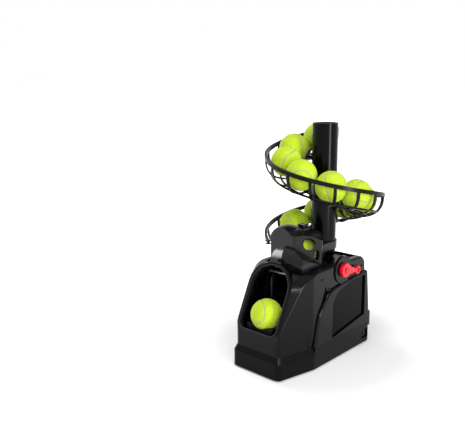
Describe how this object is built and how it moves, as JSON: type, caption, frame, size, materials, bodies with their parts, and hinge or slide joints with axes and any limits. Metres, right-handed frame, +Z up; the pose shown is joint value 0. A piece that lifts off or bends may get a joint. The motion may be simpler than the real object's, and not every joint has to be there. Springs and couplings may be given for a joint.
{
  "type": "tennis ball machine",
  "caption": "Tennis ball machine with a moulded case, an arched front mouth, a domed feeder hood and a spiral ball rack on a tube column.",
  "frame": {"origin": "on the floor under the middle of the machine's bounding box", "axes": "+X to the machine's right-hand side, where the red lever is; -Y is the way the balls are thrown; +Z up along the column"},
  "size_m": [0.263, 0.3644, 0.502],
  "materials": {
    "case_gloss": "polished injection moulding",
    "base_black": "fine spark-eroded texture",
    "inlay_black": "polished",
    "trim_grey": "satin",
    "hood_black": "satin moulding",
    "rack_black": "satin moulding",
    "tube_gloss": "extruded, glossy",
    "felt": "wool-nylon felt",
    "lever_red": "glossy moulding",
    "dark_plastic": "moulded",
    "nylon": "machined acetal",
    "frame_steel": "black oxide",
    "steel": "bright steel",
    "rubber": "matt rubber",
    "inner_grey": "moulded",
    "board_green": "solder mask",
    "cell_metal": "printed steel sleeve without lettering"
  },
  "bodies": {
    "case": {"arm_shaft": "steel", "ball_cradle": "inner_grey", "ball_ramp": "inner_grey", "base_tray": "base_black", "battery_box": "inner_grey", "case_screws": "steel", "cells": "cell_metal", "circuit_board": "board_green", "dc_inlet": "dark_plastic", "door_pin": "steel", "feeder_base": "hood_black", "feet": "rubber", "front_fascia": "case_gloss", "gate_ball": "felt", "gate_pin": "steel", "inner_plate": "frame_steel", "left_plate": "frame_steel", "left_side_cover": "case_gloss", "left_side_inlay": "inlay_black", "lever_pin": "dark_plastic", "lower_hood": "hood_black", "motor": "dark_plastic", "mouth_trim": "trim_grey", "outer_plate": "frame_steel", "rear_bumper": "case_gloss", "rear_cover": "case_gloss", "right_side_cover": "case_gloss", "right_side_inlay": "inlay_black", "throw_spring": "steel", "top_deck": "base_black", "upper_hood": "hood_black"},
    "lever": {"speed_lever": "lever_red"},
    "knob": {"thumb_knob": "hood_black"},
    "latch": {"hood_latch": "hood_black"},
    "door": {"battery_door": "base_black"},
    "rocker": {"power_rocker": "dark_plastic"},
    "arm": {"throw_arm": "frame_steel", "arm_pad": "rubber", "cam_roller": "nylon"},
    "cam_body": {"cam": "nylon", "cam_gear": "nylon"},
    "idler": {"idler_gear": "nylon"},
    "motor_rotor": {"motor_pinion": "nylon"},
    "gate": {"feed_gate": "inner_grey"},
    "rack": {"lower_tube": "tube_gloss", "upper_tube": "tube_gloss", "rack_top_section": "rack_black", "rack_upper_section": "rack_black", "rack_lower_section": "rack_black", "rack_exit_section": "rack_black", "rack_clamps": "rack_black", "rack_balls": "felt"},
    "mouth_ball": {"loaded_ball": "felt"}
  },
  "joints": [
    {"name": "lever_swing", "type": "hinge", "parent": "case", "child": "lever", "pos_m": [0.084, 0.01575, 0.195], "axis": [1, 0, 0], "range_deg": [0, 60]},
    {"name": "knob_turn", "type": "hinge", "parent": "case", "child": "knob", "pos_m": [0, -0.09835, 0.226], "axis": [0, 1, 0], "range_deg": [0, 90]},
    {"name": "latch_lift", "type": "hinge", "parent": "case", "child": "latch", "pos_m": [0, -0.01825, 0.2882], "axis": [-1, 0, 0], "range_deg": [0, 60]},
    {"name": "door_swing", "type": "hinge", "parent": "case", "child": "door", "pos_m": [0, 0.11505, 0.076], "axis": [-1, 0, 0], "range_deg": [0, 80]},
    {"name": "rocker_tilt", "type": "hinge", "parent": "case", "child": "rocker", "pos_m": [0.0735, 0.11275, 0.0225], "axis": [0, 1, 0], "range_deg": [-10, 10]},
    {"name": "arm_swing", "type": "hinge", "parent": "case", "child": "arm", "pos_m": [0, -0.08225, 0.192], "axis": [1, 0, 0], "range_deg": [0, 40], "stiffness_Nm_per_rad": 1, "springref_deg": -34.38, "deforming": ["throw_spring"]},
    {"name": "cam_turn", "type": "hinge", "parent": "case", "child": "cam_body", "pos_m": [0.053, -0.07401, 0.15186], "axis": [1, 0, 0], "range_deg": [-242, 2]},
    {"name": "idler_turn", "type": "hinge", "parent": "case", "child": "idler", "pos_m": [0.06, -0.05964, 0.1124], "axis": [1, 0, 0], "range_deg": [-8, 888]},
    {"name": "motor_turn", "type": "hinge", "parent": "case", "child": "motor_rotor", "pos_m": [0.06, -0.04836, 0.08139], "axis": [1, 0, 0], "range_deg": [-3990, 30]},
    {"name": "gate_tilt", "type": "hinge", "parent": "case", "child": "gate", "pos_m": [0, 0.00875, 0.1942], "axis": [1, 0, 0], "range_deg": [0, 50], "stiffness_Nm_per_rad": 0.05, "springref_deg": -17.19},
    {"name": "rack_lift", "type": "slide", "parent": "case", "child": "rack", "axis": [0, 0, 1], "range_m": [0, 0.06]},
    {"name": "ball_throw", "type": "slide", "parent": "case", "child": "mouth_ball", "axis": [0, -0.7507, 0.6606], "range_m": [0, 0.15]}
  ],
  "couplings": [
    {"joint": "cam_turn", "follows": "arm_swing", "ratio": -6},
    {"joint": "idler_turn", "follows": "arm_swing", "ratio": 22},
    {"joint": "motor_turn", "follows": "arm_swing", "ratio": -99}
  ]
}
